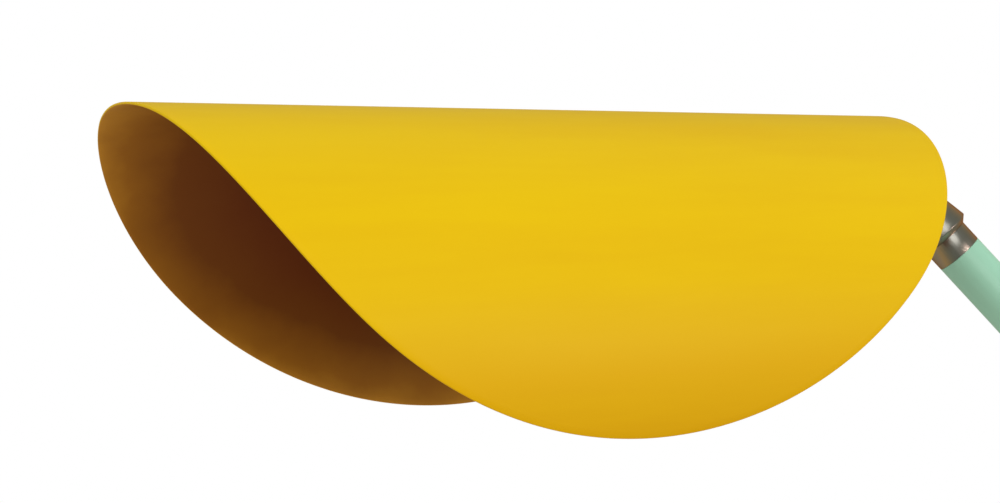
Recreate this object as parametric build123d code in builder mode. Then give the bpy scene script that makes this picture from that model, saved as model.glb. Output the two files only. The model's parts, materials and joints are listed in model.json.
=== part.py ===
"""Wall-mounted emergency safety shower: a bent-disc hood over a shower rose, on a ball joint at the end of a
sloping supply arm, with a stay-open ball valve, pull rod and wall plate.

The frame: the origin is the centre of the wall plate's back face, +X points into the wall, +Z is up.
All sizes are in millimetres and degrees.
"""

from build123d import *
from math import cos, degrees, radians, sin, sqrt, tan
import os

# ---------------------------------------------------------------- driving sizes
PIPE_OD = 33.7  # one-inch steel pipe
PIPE_WALL = 3.2
PIPE_STANDOFF = 78.0  # wall to the riser's axis
ARM_SLOPE = 49.0  # the arm's angle above the horizontal
ARM_BEND = 110.0  # centreline radius of the bend from riser to arm
ARM_STRAIGHT = 330.0  # sloping length of the arm's tube
BEND_START = 185.0  # height where the riser starts to bend

HEAD_TURN = 35.0  # how far the head is swung sideways from the arm's plane
HOOD_DISC = 530.0  # the flat disc that the hood is bent from
HOOD_SHEET = 1.5
CROWN_RADIUS = 161.0  # outer radius of the gently curved crown
CROWN_HALF = 35.0  # arc length from the ridge to the shoulder
SHOULDER_RADIUS = 116.7
SHOULDER_END = 190.0  # arc length from the ridge to the flank
FLANK_RADIUS = 353.0
JOINT_REACH = 323.0  # hood centre to the ball's centre, along the ridge
JOINT_DROP = 73.0  # ridge to the ball's centre

BALL_RADIUS = 15.0
NECK_RADIUS = 7.5
JOINT_BORE = 5.5
STEM_SLOPE = 40.0  # the ball stem's angle above the horizontal
STEM_END = 40.0  # ball centre to the shoulder that the feed pipe sits on
FERRULE_LENGTH = 15.2  # polished metal that shows between collar and tube
SEAT_WALL = 1.04  # the seat ring at the ball's widest
COLLAR_WALL = 3.1  # the collar at the ball's widest
COLLAR_CHAMFER = 3.9
COLLAR_TAPER = 9.0  # the collar narrows towards its mouth
COLLAR_BACK = 16.1  # ball centre to the collar's back face
LIP = 3.5  # length of the lip that holds the ball in
LIP_ANGLE = 25.6  # from the ball's widest to the lip
CUP_ANGLE = 17.8  # from the ball's widest back to the ferrule's cup
CUP_WALL = 2.45

FEED_OD = 26.9  # three-quarter-inch pipe under the ridge
FEED_WALL = 2.65
FEED_BEND = 35.0
FEED_BEND_START = 46.0  # ball centre to the start of that bend
TEE_HALF = 34.0
TEE_RADIUS = 17.5
STUB_END = 152.0  # hood centre to the stub's closed end
SADDLE_AT = 118.0  # hood centre to each saddle
SADDLE_WIDTH = 30.0
STUD_ARC = 52.0  # arc length from the ridge to each weld stud
PAD = 1.2  # rubber pad between saddle and hood
FLANGE = 5.0  # thickness of a saddle's wings
BLOCK_HALF = 28.0  # half the width of a saddle's block
CAP_THICK = 8.0
CAP_SCREWS = 22.0  # pipe axis to each cap screw
CAP_SCREW_RADIUS = 2.5
CAP_SCREW_HEAD = 5.0
CAP_SCREW_DEPTH = 14.0
STUD_RADIUS = 3.0
STUD_LENGTH = 20.0

ROSE_RADIUS = 95.0
ROSE_WALL = 3.0
ROSE_FACE = 126.0  # ridge to the rose's lowest face
ROSE_PLATE = 2.5
JET_RADIUS = 1.8
JET_RINGS = 5
JET_PITCH = 14.5  # from each ring of jets to the next
ROSE_LEDGE = 12.0  # width of the ledge that the rose's plate is screwed to
ROSE_SCREWS = 6
ROSE_SCREW_RADIUS = 1.55
NIPPLE_LENGTH = 36.0

PLATE_WIDTH = 150.0
PLATE_HEIGHT = 500.0
PLATE_SHEET = 5.0
PLATE_CORNER = 14.0
WALL_HOLE_RADIUS = 4.5
WALL_HOLES_ACROSS = 120.0
WALL_HOLES_UP = 450.0
CLAMP_AT = 140.0  # height of each pipe clamp above and below the valve
CLAMP_WIDTH = 26.0
LINER = 3.0
CLAMP_BAND = 4.5
CLAMP_BOLT_RADIUS = 3.0

VALVE_BALL = 20.0
VALVE_PORT = 12.5
VALVE_CAP = 12.0  # thickness of each end cap's flange
VALVE_HUB = 24.0  # length of each end cap's pipe socket
VALVE_BOLT_RADIUS = 4.0
BODY_WALL = 5.4
LEVER_REACH = 150.0
LEVER_THICK = 6.0
ROD_RADIUS = 4.0
ROD_LENGTH = 330.0
HANDLE_SIDE = 150.0
HANDLE_RADIUS = 6.0

INLET_END = 262.0  # depth of the inlet's mouth below the plate's centre
INLET_THREAD = 15.15  # minor radius of a one-inch pipe thread
INLET_DEPTH = 22.0

RUN = 0.06  # radial gap of a fit that turns
FIT = 0.05  # gap of a close fit that doesn't move
SCREW_GAP = 0.2  # radial gap round a screw in its hole
M6_HEX = 10.0
M8_HEX = 13.0
M8_WASHER = 9.0
WASHER = 1.4
NUT = 6.0  # height of a nut

# ---------------------------------------------------------------- worked-out sizes and frames
PIPE_RADIUS = PIPE_OD / 2
PIPE_BORE = PIPE_RADIUS - PIPE_WALL
VALVE_HALF = VALVE_BALL + 3  # half the length of the middle body
CAVITY = VALVE_BALL + 1.6
BODY_RADIUS = CAVITY + BODY_WALL
BONNET = BODY_RADIUS + 17  # riser axis to the stem housing's end
FEED_RADIUS = FEED_OD / 2
FEED_BORE = FEED_RADIUS - FEED_WALL
RIM = HOOD_DISC / 2

bend_turn = 90 - ARM_SLOPE
arm_up = Vector(-cos(radians(ARM_SLOPE)), 0, sin(radians(ARM_SLOPE)))
bend_end = Vector(
    -PIPE_STANDOFF - ARM_BEND * (1 - cos(radians(bend_turn))),
    0,
    BEND_START + ARM_BEND * sin(radians(bend_turn)),
)
tube_end = bend_end + arm_up * ARM_STRAIGHT
tube_gap = COLLAR_BACK + FERRULE_LENGTH
ball_centre = tube_end + arm_up * tube_gap
RISER = Plane(origin=(-PIPE_STANDOFF, 0, 0))
ARM = Plane(origin=ball_centre, x_dir=(0, 1, 0), z_dir=arm_up)

ridge_way = Vector(cos(radians(HEAD_TURN)), sin(radians(HEAD_TURN)), 0)
head_origin = ball_centre - ridge_way * JOINT_REACH + Vector(0, 0, JOINT_DROP)
HEAD = Plane(origin=head_origin, x_dir=ridge_way, z_dir=(0, 0, 1))
stem_way = Vector(-cos(radians(STEM_SLOPE)), 0, sin(radians(STEM_SLOPE)))
joint_in_head = Vector(JOINT_REACH, 0, -JOINT_DROP)
STEM = Plane(
    origin=ball_centre,
    x_dir=HEAD.y_dir,
    z_dir=ridge_way * stem_way.X + Vector(0, 0, stem_way.Z),
)


def in_head(along, up):
    """A frame like the head's, moved along the ridge and up from its own origin."""
    return Plane(
        origin=head_origin + ridge_way * along + Vector(0, 0, up),
        x_dir=ridge_way,
        z_dir=(0, 0, 1),
    )


def save(piece, name, frame=Plane.XY):
    """Labels a finished piece, moves it from its own frame to the shower's, and writes it."""
    part = piece.part.moved(frame.location)
    part.label = name
    export_step(part, f"parts/{name}.step")


def half_outline(*corners):
    """The half section of a turned piece, from its (radius, height) corners."""
    with BuildSketch(Plane.XZ) as outline:
        with BuildLine():
            Polyline(*corners, close=True)
        make_face()
    return outline.sketch


def sheet_point(arc, depth=0.0):
    """The hood's (y, z) at an arc length from the ridge, at a depth below its outer surface."""
    y, z, lean = 0.0, 0.0, 0.0
    left = arc
    stretches = (
        (CROWN_HALF, CROWN_RADIUS),
        (SHOULDER_END - CROWN_HALF, SHOULDER_RADIUS),
        (RIM, FLANK_RADIUS),
    )
    for length, radius in stretches:
        turn = min(left, length) / radius
        y += radius * (sin(lean + turn) - sin(lean))
        z -= radius * (cos(lean) - cos(lean + turn))
        lean += turn
        left -= min(left, length)
    return y - depth * sin(lean), z - depth * cos(lean)


def sheet_lean(arc):
    """How far the hood has turned from the horizontal at an arc length, up to the shoulder's end."""
    crown = min(arc, CROWN_HALF) / CROWN_RADIUS
    return degrees(crown + max(arc - CROWN_HALF, 0) / SHOULDER_RADIUS)


def sheet_arcs(arc, depth):
    """One side of the hood's section, as arcs from the ridge out. Needs a BuildLine around it."""
    stops = [0, CROWN_HALF, SHOULDER_END, RIM]
    stops = [stop for stop in stops if stop < arc] + [arc]
    edges = []
    for start, end in zip(stops, stops[1:]):
        middle = (start + end) / 2
        edges.append(
            ThreePointArc(
                sheet_point(start, depth),
                sheet_point(middle, depth),
                sheet_point(end, depth),
            )
        )
    return edges


def sheet_section(arc, top, bottom):
    """A strip that follows the hood's section between two depths, as wide each way as the arc length."""
    with BuildSketch(Plane.YZ) as section:
        with BuildLine():
            sheet_arcs(arc, top)
            sheet_arcs(arc, bottom)
            Line(sheet_point(arc, top), sheet_point(arc, bottom))
            Line(sheet_point(0, top), sheet_point(0, bottom))
        make_face()
        mirror(about=Plane.YZ)
    return section.sketch


def hexagon(across_flats):
    """A hexagon by its width across flats."""
    with BuildSketch() as shape:
        RegularPolygon(across_flats / 2, 6, major_radius=False)
    return shape.sketch


def tube(route, outer, inner):
    """A pipe swept along a route made of straight runs and tangent arcs."""
    with BuildPart() as pipe:
        with BuildSketch(Plane(origin=route @ 0, z_dir=route % 0)):
            Circle(outer)
            Circle(inner, mode=Mode.SUBTRACT)
        sweep(path=route)
    return pipe


os.makedirs("parts", exist_ok=True)

# ---------------------------------------------------------------- hood
RIM_STEPS = 24
rim_points = []
for step in range(RIM_STEPS + 1):
    angle = radians(180 * step / RIM_STEPS)
    rim_points.append((RIM * cos(angle), sheet_point(RIM * sin(angle))[1]))

with BuildPart() as hood:
    extrude(sheet_section(RIM, 0, HOOD_SHEET), amount=RIM + 5, both=True)
    with BuildSketch(Plane.XZ):
        with BuildLine():
            Spline(*rim_points)
            Polyline(rim_points[-1], (-RIM, 5), (RIM, 5), rim_points[0])
        make_face()
    extrude(amount=RIM, both=True, mode=Mode.INTERSECT)
save(hood, "hood", HEAD)

# Weld studs on the inside of the crown, with the pads, saddles and nuts that hang the hood on its pipe.
STUD_FLANGE = 0.8
FLAT_SINK = 0.12  # the stud's flat foot starts this far below the curved sheet
WING_END = STUD_ARC + 12
stud_y, stud_z = sheet_point(STUD_ARC, HOOD_SHEET + FLAT_SINK)
stud_lean = sheet_lean(STUD_ARC)
stud_planes = []
for side in (-1, 1):
    for along in (-SADDLE_AT, SADDLE_AT):
        down = (0, -side * sin(radians(stud_lean)), -cos(radians(stud_lean)))
        stud_planes.append(
            Plane(origin=(along, side * stud_y, stud_z), x_dir=(1, 0, 0), z_dir=down)
        )

with BuildPart() as hood_studs:
    for plane in stud_planes:
        with BuildSketch(plane):
            Circle(STUD_RADIUS)
        extrude(amount=STUD_LENGTH)
        with BuildSketch(plane):
            Circle(STUD_RADIUS + 1)
        extrude(amount=STUD_FLANGE)
save(hood_studs, "hood_weld_studs", HEAD)

bend_drop = FEED_BEND_START * sin(radians(STEM_SLOPE)) + FEED_BEND * (1 - cos(radians(STEM_SLOPE)))
feed_drop = JOINT_DROP - bend_drop
flange_top = HOOD_SHEET + PAD
nut_at = PAD + FLANGE + SCREW_GAP
with BuildPart() as pads:
    with Locations((-SADDLE_AT, 0, 0), (SADDLE_AT, 0, 0)):
        strip = sheet_section(WING_END, HOOD_SHEET, flange_top)
        add(extrude(strip, amount=SADDLE_WIDTH / 2, both=True, mode=Mode.PRIVATE))
    for plane in stud_planes:
        with BuildSketch(plane):
            Circle(STUD_RADIUS + 1 + FIT)
        extrude(amount=4 * PAD, both=True, mode=Mode.SUBTRACT)
save(pads, "saddle_pads", HEAD)

CAP_GAP = 0.5  # between each saddle's block and its cap
for label, along in (("front", -SADDLE_AT), ("rear", SADDLE_AT)):
    near_studs = [plane for plane in stud_planes if abs(plane.origin.X - along) < 1]
    with BuildPart() as saddle:
        wings = sheet_section(WING_END, flange_top, flange_top + FLANGE)
        extrude(wings, amount=SADDLE_WIDTH / 2, both=True)
        with BuildSketch(Plane.YZ):
            with BuildLine():
                block_top = sheet_point(BLOCK_HALF, flange_top + FLANGE / 2)[1]
                Polyline(
                    (-BLOCK_HALF, -feed_drop),
                    (BLOCK_HALF, -feed_drop),
                    (BLOCK_HALF, block_top),
                    (0, -flange_top - FLANGE / 2),
                    (-BLOCK_HALF, block_top),
                    close=True,
                )
            make_face()
        extrude(amount=SADDLE_WIDTH / 2, both=True)
        with BuildSketch(Plane.YZ):
            with Locations((0, -feed_drop)):
                Circle(FEED_RADIUS + FIT)
        extrude(amount=SADDLE_WIDTH, both=True, mode=Mode.SUBTRACT)
        for plane in near_studs:
            with BuildSketch(Plane(plane.origin - Vector(along, 0, 0), x_dir=(1, 0, 0), z_dir=plane.z_dir)):
                Circle(STUD_RADIUS + SCREW_GAP)
            extrude(amount=STUD_LENGTH, mode=Mode.SUBTRACT)
        with BuildSketch(Plane.XY.offset(-feed_drop)):
            with Locations((0, -CAP_SCREWS), (0, CAP_SCREWS)):
                Circle(CAP_SCREW_RADIUS + FIT)
        extrude(amount=CAP_SCREW_DEPTH, mode=Mode.SUBTRACT)
    save(saddle, f"saddle_{label}", in_head(along, 0))

    with BuildPart() as cap:
        with BuildSketch(Plane.YZ):
            with Locations((0, -feed_drop)):
                Circle(FEED_RADIUS + FLANGE)
                Rectangle(2 * BLOCK_HALF, 2 * CAP_THICK)
                Circle(FEED_RADIUS + FIT, mode=Mode.SUBTRACT)
            with Locations((0, -feed_drop + BLOCK_HALF - CAP_GAP)):
                Rectangle(3 * BLOCK_HALF, 2 * BLOCK_HALF, mode=Mode.SUBTRACT)
        extrude(amount=SADDLE_WIDTH / 2, both=True)
        with BuildSketch(Plane.XY.offset(-feed_drop)):
            with Locations((0, -CAP_SCREWS), (0, CAP_SCREWS)):
                Circle(CAP_SCREW_RADIUS + SCREW_GAP)
        extrude(amount=-2 * CAP_THICK, mode=Mode.SUBTRACT)
    save(cap, f"saddle_cap_{label}", in_head(along, 0))

cap_face = Plane.XY.offset(-feed_drop - CAP_THICK - FIT)
with BuildPart() as saddle_screws:
    with BuildSketch(cap_face):
        with GridLocations(2 * SADDLE_AT, 2 * CAP_SCREWS, 2, 2):
            Circle(CAP_SCREW_RADIUS + 1.8)
    extrude(amount=-CAP_SCREW_HEAD)
    with BuildSketch(cap_face):
        with GridLocations(2 * SADDLE_AT, 2 * CAP_SCREWS, 2, 2):
            Circle(CAP_SCREW_RADIUS)
    extrude(amount=CAP_THICK + CAP_SCREW_DEPTH - 2)
    with BuildSketch(cap_face.offset(-CAP_SCREW_HEAD)):
        with GridLocations(2 * SADDLE_AT, 2 * CAP_SCREWS, 2, 2):
            RegularPolygon(CAP_SCREW_RADIUS - 0.5, 6)
    extrude(amount=CAP_SCREW_HEAD / 2, mode=Mode.SUBTRACT)
save(saddle_screws, "saddle_screws", HEAD)

with BuildPart() as stud_nuts:
    for plane in stud_planes:
        with BuildSketch(plane.offset(nut_at)):
            Circle(M6_HEX * 0.66)
            Circle(STUD_RADIUS + FIT, mode=Mode.SUBTRACT)
        extrude(amount=WASHER)
        with BuildSketch(plane.offset(nut_at)):
            add(hexagon(M6_HEX))
            Circle(STUD_RADIUS + FIT, mode=Mode.SUBTRACT)
        extrude(amount=NUT)
save(stud_nuts, "stud_nuts", HEAD)

# ---------------------------------------------------------------- feed pipe, tee and stub under the ridge
TEE_SOCKET = 16.0
BEAD_WIDTH = 8.0
BEAD = 2.2
feed_corner = joint_in_head + stem_way * (FEED_BEND_START + FEED_BEND * tan(radians(STEM_SLOPE / 2)))
with BuildLine() as feed_route:
    FilletPolyline(
        joint_in_head + stem_way * (STEM_END + FIT),
        feed_corner,
        Vector(TEE_HALF - TEE_SOCKET, 0, -feed_drop),
        radius=FEED_BEND,
    )
save(tube(feed_route.line, FEED_RADIUS, FEED_BORE), "feed_pipe", HEAD)


def is_bead(edge):
    """Whether a circle is on the rim of one of the tee's beads."""
    return abs(edge.radius - TEE_RADIUS - BEAD) < 0.01


with BuildPart() as tee:
    for way in ((1, 0, 0), (-1, 0, 0), (0, 0, -1)):
        branch = Plane(origin=(0, 0, 0), x_dir=(0, 1, 0), z_dir=way)
        with BuildSketch(branch):
            Circle(TEE_RADIUS)
        extrude(amount=TEE_HALF)
        with BuildSketch(branch.offset(TEE_HALF - BEAD_WIDTH)):
            Circle(TEE_RADIUS + BEAD)
        extrude(amount=BEAD_WIDTH)
    fillet(tee.edges().filter_by(GeomType.CIRCLE).filter_by(is_bead), 1)
    for way in ((1, 0, 0), (-1, 0, 0), (0, 0, -1)):
        branch = Plane(origin=(0, 0, 0), x_dir=(0, 1, 0), z_dir=way)
        with BuildSketch(branch):
            Circle(FEED_BORE)
        extrude(amount=TEE_HALF, mode=Mode.SUBTRACT)
        with BuildSketch(branch.offset(TEE_HALF - TEE_SOCKET)):
            Circle(FEED_RADIUS + FIT)
        extrude(amount=TEE_SOCKET, mode=Mode.SUBTRACT)
save(tee, "feed_tee", in_head(0, -feed_drop))

stub_start = TEE_HALF - TEE_SOCKET + FIT
STUB_CAP_WALL = 3.2
STUB_CAP_DEPTH = 10.0
STUB_CAP_END = 4.0
with BuildPart() as stub:
    with BuildSketch(Plane.YZ.offset(-stub_start)):
        with Locations((0, -feed_drop)):
            Circle(FEED_RADIUS)
            Circle(FEED_BORE, mode=Mode.SUBTRACT)
    extrude(amount=stub_start - STUB_END)
save(stub, "stub_pipe", HEAD)

with BuildPart() as stub_cap:
    with BuildSketch(Plane.YZ.offset(-STUB_END + STUB_CAP_DEPTH)):
        with Locations((0, -feed_drop)):
            Circle(FEED_RADIUS + STUB_CAP_WALL)
    extrude(amount=-STUB_CAP_DEPTH - STUB_CAP_END)
    fillet(stub_cap.faces().sort_by(Axis.X)[0].edges(), 0.8 * STUB_CAP_WALL)
    with BuildSketch(Plane.YZ.offset(-STUB_END + STUB_CAP_DEPTH)):
        with Locations((0, -feed_drop)):
            Circle(FEED_RADIUS + FIT)
    extrude(amount=-STUB_CAP_DEPTH - FIT, mode=Mode.SUBTRACT)
save(stub_cap, "stub_cap", HEAD)

# ---------------------------------------------------------------- rose
tee_face = -feed_drop - TEE_HALF
nipple_top = tee_face + TEE_SOCKET - FIT
nipple_end = nipple_top - NIPPLE_LENGTH
with BuildPart() as nipple:
    revolve(
        half_outline(
            (FEED_BORE, nipple_top),
            (FEED_RADIUS, nipple_top),
            (FEED_RADIUS, nipple_end),
            (FEED_BORE, nipple_end),
        ),
        axis=Axis.Z,
    )
save(nipple, "rose_nipple", HEAD)

ROSE_SOCKET = 14.0
rose_top = nipple_end + ROSE_SOCKET
rose_floor = -ROSE_FACE + ROSE_PLATE
rose_shoulder = rose_floor + 10
rose_wall_in = ROSE_RADIUS - ROSE_WALL
ledge_in = rose_wall_in - ROSE_LEDGE
screw_ring = rose_wall_in - ROSE_LEDGE / 2
neck_outer = FEED_RADIUS + 4
with BuildPart() as rose_body:
    with BuildSketch(Plane.XZ):
        with BuildLine():
            outer_neck = Line((neck_outer, rose_top), (neck_outer, nipple_end - 2))
            outer_bell = Spline(
                outer_neck @ 1,
                (ROSE_RADIUS * 0.55, rose_shoulder + 7),
                (ROSE_RADIUS, rose_shoulder - 3),
                tangents=((0.7, -1), (1, -0.45)),
            )
            Polyline(
                outer_bell @ 1,
                (ROSE_RADIUS, -ROSE_FACE),
                (rose_wall_in, -ROSE_FACE),
                (rose_wall_in, rose_floor),
                (ledge_in, rose_floor),
                (ledge_in, rose_floor + 5),
                (FEED_BORE + 7, nipple_end - 12),
                (FEED_BORE, nipple_end - 6),
                (FEED_BORE, nipple_end - FIT),
                (FEED_RADIUS + FIT, nipple_end - FIT),
                (FEED_RADIUS + FIT, rose_top),
                outer_neck @ 0,
            )
        make_face()
    revolve(axis=Axis.Z)
    with BuildSketch(Plane.XY.offset(rose_floor)):
        with PolarLocations(screw_ring, ROSE_SCREWS):
            Circle(ROSE_SCREW_RADIUS + FIT)
    extrude(amount=4.5, mode=Mode.SUBTRACT)
save(rose_body, "rose_body", HEAD)

GASKET = 1.0
with BuildPart() as rose_gasket:
    with BuildSketch(Plane.XY.offset(rose_floor - GASKET)):
        Circle(rose_wall_in - 3 * SCREW_GAP)
        Circle(ledge_in, mode=Mode.SUBTRACT)
        with PolarLocations(screw_ring, ROSE_SCREWS):
            Circle(ROSE_SCREW_RADIUS + 0.35, mode=Mode.SUBTRACT)
    extrude(amount=GASKET)
save(rose_gasket, "rose_gasket", HEAD)

with BuildPart() as rose_plate:
    with BuildSketch(Plane.XY.offset(-ROSE_FACE)):
        Circle(rose_wall_in - 2 * SCREW_GAP)
        Circle(JET_RADIUS, mode=Mode.SUBTRACT)
        for ring in range(1, JET_RINGS + 1):
            with PolarLocations(ring * JET_PITCH, 6 * ring):
                Circle(JET_RADIUS, mode=Mode.SUBTRACT)
        with PolarLocations(screw_ring, ROSE_SCREWS):
            Circle(ROSE_SCREW_RADIUS + 0.35, mode=Mode.SUBTRACT)
    extrude(amount=ROSE_PLATE - GASKET)
save(rose_plate, "rose_plate", HEAD)

ROSE_SCREW_HEAD = 2.0
with BuildPart() as rose_screws:
    with BuildSketch(Plane.XY.offset(-ROSE_FACE)):
        with PolarLocations(screw_ring, ROSE_SCREWS):
            Circle(2 * ROSE_SCREW_RADIUS)
    extrude(amount=-ROSE_SCREW_HEAD)
    fillet(rose_screws.faces().sort_by(Axis.Z)[:ROSE_SCREWS].edges(), ROSE_SCREW_HEAD / 2)
    with BuildSketch(Plane.XY.offset(-ROSE_FACE)):
        with PolarLocations(screw_ring, ROSE_SCREWS):
            Circle(ROSE_SCREW_RADIUS)
    extrude(amount=ROSE_PLATE + 4)
    with BuildSketch(Plane.XY.offset(-ROSE_FACE - ROSE_SCREW_HEAD)):
        with PolarLocations(screw_ring, ROSE_SCREWS):
            RegularPolygon(0.8 * ROSE_SCREW_RADIUS, 6)
    extrude(amount=0.6 * ROSE_SCREW_HEAD, mode=Mode.SUBTRACT)
save(rose_screws, "rose_screws", HEAD)

with BuildPart() as flow_disc:
    with BuildSketch(Plane.XY.offset(nipple_end)):
        Circle(FEED_BORE - FIT)
        Circle(JET_RADIUS, mode=Mode.SUBTRACT)
        with PolarLocations(0.6 * FEED_BORE, 6):
            Circle(JET_RADIUS, mode=Mode.SUBTRACT)
    extrude(amount=3)
save(flow_disc, "flow_disc", HEAD)

# ---------------------------------------------------------------- ball joint
CONE_START = 24.0
CONE_LENGTH = 7.0
SHOULDER_OUT = 14.0  # radius of the stem's shoulder
SPIGOT_IN = 5.5  # how far the stem reaches into the feed pipe
WRENCH_FLATS = 26.0
with BuildPart() as ball_stem:
    Sphere(BALL_RADIUS)
    revolve(
        half_outline(
            (0, 0),
            (NECK_RADIUS, 0),
            (NECK_RADIUS, CONE_START),
            (SHOULDER_OUT, CONE_START + CONE_LENGTH),
            (SHOULDER_OUT, STEM_END),
            (FEED_BORE - FIT, STEM_END),
            (FEED_BORE - FIT, STEM_END + SPIGOT_IN),
            (0, STEM_END + SPIGOT_IN),
        ),
        axis=Axis.Z,
    )
    with BuildSketch(Plane.XY.offset(CONE_START + CONE_LENGTH + 0.5)):
        Circle(SHOULDER_OUT + 2)
        RegularPolygon(WRENCH_FLATS / 2, 6, major_radius=False, mode=Mode.SUBTRACT)
    extrude(amount=STEM_END - CONE_START - CONE_LENGTH - 2, mode=Mode.SUBTRACT)
    with BuildSketch(Plane.XY.offset(-BALL_RADIUS - 1)):
        Circle(JOINT_BORE)
    extrude(amount=BALL_RADIUS + STEM_END + 2 * SPIGOT_IN, mode=Mode.SUBTRACT)
save(ball_stem, "ball_stem", STEM)

ball_space = BALL_RADIUS + RUN
cup_radius = ball_space * cos(radians(CUP_ANGLE))
cup_face = ball_space * sin(radians(CUP_ANGLE))
thread_radius = cup_radius + CUP_WALL
FERRULE_BORE = 9.0
SPIGOT = 24.0
SEAL_RADIUS = 1.3
seal_reach = ball_space + SEAL_RADIUS
seal_ring = thread_radius - 2 * SEAL_RADIUS
seal_at = (0, 0, -sqrt(seal_reach**2 - seal_ring**2))
with BuildPart() as ferrule:
    revolve(
        half_outline(
            (FERRULE_BORE, -tube_gap - SPIGOT),
            (PIPE_BORE - FIT, -tube_gap - SPIGOT),
            (PIPE_BORE - FIT, -tube_gap),
            (PIPE_RADIUS, -tube_gap),
            (PIPE_RADIUS, -COLLAR_BACK - FIT),
            (thread_radius, -COLLAR_BACK - FIT),
            (thread_radius, -cup_face),
            (FERRULE_BORE, -cup_face),
        ),
        axis=Axis.Z,
    )
    Sphere(ball_space, mode=Mode.SUBTRACT)
    with Locations(seal_at):
        Torus(seal_ring, SEAL_RADIUS + FIT, mode=Mode.SUBTRACT)
save(ferrule, "joint_ferrule", ARM)

with BuildPart() as ball_seal:
    with Locations(seal_at):
        Torus(seal_ring, SEAL_RADIUS)
save(ball_seal, "ball_seal", ARM)

pocket_radius = ball_space + SEAT_WALL
lip_radius = ball_space * cos(radians(LIP_ANGLE))
lip_at = ball_space * sin(radians(LIP_ANGLE))
collar_mouth = lip_at + LIP
taper = tan(radians(COLLAR_TAPER))
widest = pocket_radius + COLLAR_WALL + taper * (COLLAR_BACK - COLLAR_CHAMFER)
mouth_radius = pocket_radius + COLLAR_WALL - taper * collar_mouth
MOUTH_EDGE = 1.6
LIP_PLAY = 0.5  # how far the lip and the seat stand back from the ball's own circle
with BuildPart() as collar:
    revolve(
        half_outline(
            (thread_radius + FIT, -COLLAR_BACK),
            (widest - COLLAR_CHAMFER, -COLLAR_BACK),
            (widest, -COLLAR_BACK + COLLAR_CHAMFER),
            (mouth_radius, collar_mouth),
            (mouth_radius - MOUTH_EDGE, collar_mouth),
            (lip_radius + LIP_PLAY, lip_at + MOUTH_EDGE / 2),
            (lip_radius + LIP_PLAY, lip_at),
            (pocket_radius, lip_at),
            (pocket_radius, -cup_face + FIT),
            (thread_radius + FIT, -cup_face + FIT),
        ),
        axis=Axis.Z,
    )
save(collar, "collar_nut", ARM)

with BuildPart() as front_seat:
    revolve(
        half_outline(
            (lip_radius - LIP_PLAY, -cup_face + 2 * FIT),
            (pocket_radius - RUN, -cup_face + 2 * FIT),
            (pocket_radius - RUN, lip_at - FIT),
            (lip_radius - LIP_PLAY, lip_at - FIT),
        ),
        axis=Axis.Z,
    )
    Sphere(ball_space, mode=Mode.SUBTRACT)
save(front_seat, "front_seat", ARM)

# ---------------------------------------------------------------- supply arm and union
HUB_END = VALVE_HALF + VALVE_CAP + VALVE_HUB
HUB_SOCKET = 18.0
HUB_WALL = 6.15
union_hex = 2 * (PIPE_RADIUS + 5.15)
union_thread = PIPE_RADIUS + 6.55
union_sleeve = PIPE_RADIUS + 3.65
union_collar = union_thread - 0.4
UNION_BASE = HUB_END + 6  # height of the union's hexagon, then of its thread and its seat
UNION_THREAD = UNION_BASE + 12
UNION_SEAT = UNION_THREAD + 14
UNION_SEAL = 2.0
UNION_COLLAR = 4.0
UNION_SLEEVE = 24.0
UNION_STOP = 7.0  # the supply arm stands this far up the sleeve
union_nut_hex = 2 * (union_thread + 4.6)
with BuildPart() as union_lower:
    with BuildSketch(Plane.XY.offset(UNION_BASE)):
        add(hexagon(union_hex))
    extrude(amount=UNION_THREAD - UNION_BASE)
    chamfer(union_lower.faces().sort_by(Axis.Z)[0].edges(), 1)
    with BuildSketch(Plane.XY.offset(UNION_THREAD)):
        Circle(union_thread)
    extrude(amount=UNION_SEAT - UNION_THREAD)
    with BuildSketch(Plane.XY.offset(HUB_END - HUB_SOCKET + FIT)):
        Circle(PIPE_RADIUS)
    extrude(amount=UNION_SEAT - HUB_END)
    with BuildSketch(Plane.XY.offset(HUB_END - HUB_SOCKET)):
        Circle(VALVE_PORT)
    extrude(amount=UNION_SEAT, mode=Mode.SUBTRACT)
save(union_lower, "union_lower", RISER)

with BuildPart() as union_gasket:
    with BuildSketch(Plane.XY.offset(UNION_SEAT + FIT)):
        Circle(union_sleeve)
        Circle(VALVE_PORT + 1, mode=Mode.SUBTRACT)
    extrude(amount=UNION_SEAL)
save(union_gasket, "union_gasket", RISER)

union_flange = UNION_SEAT + UNION_SEAL + 2 * FIT
with BuildPart() as union_upper:
    revolve(
        half_outline(
            (PIPE_BORE, union_flange),
            (union_collar, union_flange),
            (union_collar, union_flange + UNION_COLLAR),
            (union_sleeve, union_flange + UNION_COLLAR),
            (union_sleeve, union_flange + UNION_SLEEVE),
            (PIPE_RADIUS + FIT, union_flange + UNION_SLEEVE),
            (PIPE_RADIUS + FIT, union_flange + UNION_STOP),
            (PIPE_BORE, union_flange + UNION_STOP),
        ),
        axis=Axis.Z,
    )
    chamfer(union_upper.edges().filter_by(GeomType.CIRCLE).sort_by(Axis.Z)[-1], 1)
save(union_upper, "union_upper", RISER)

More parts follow.
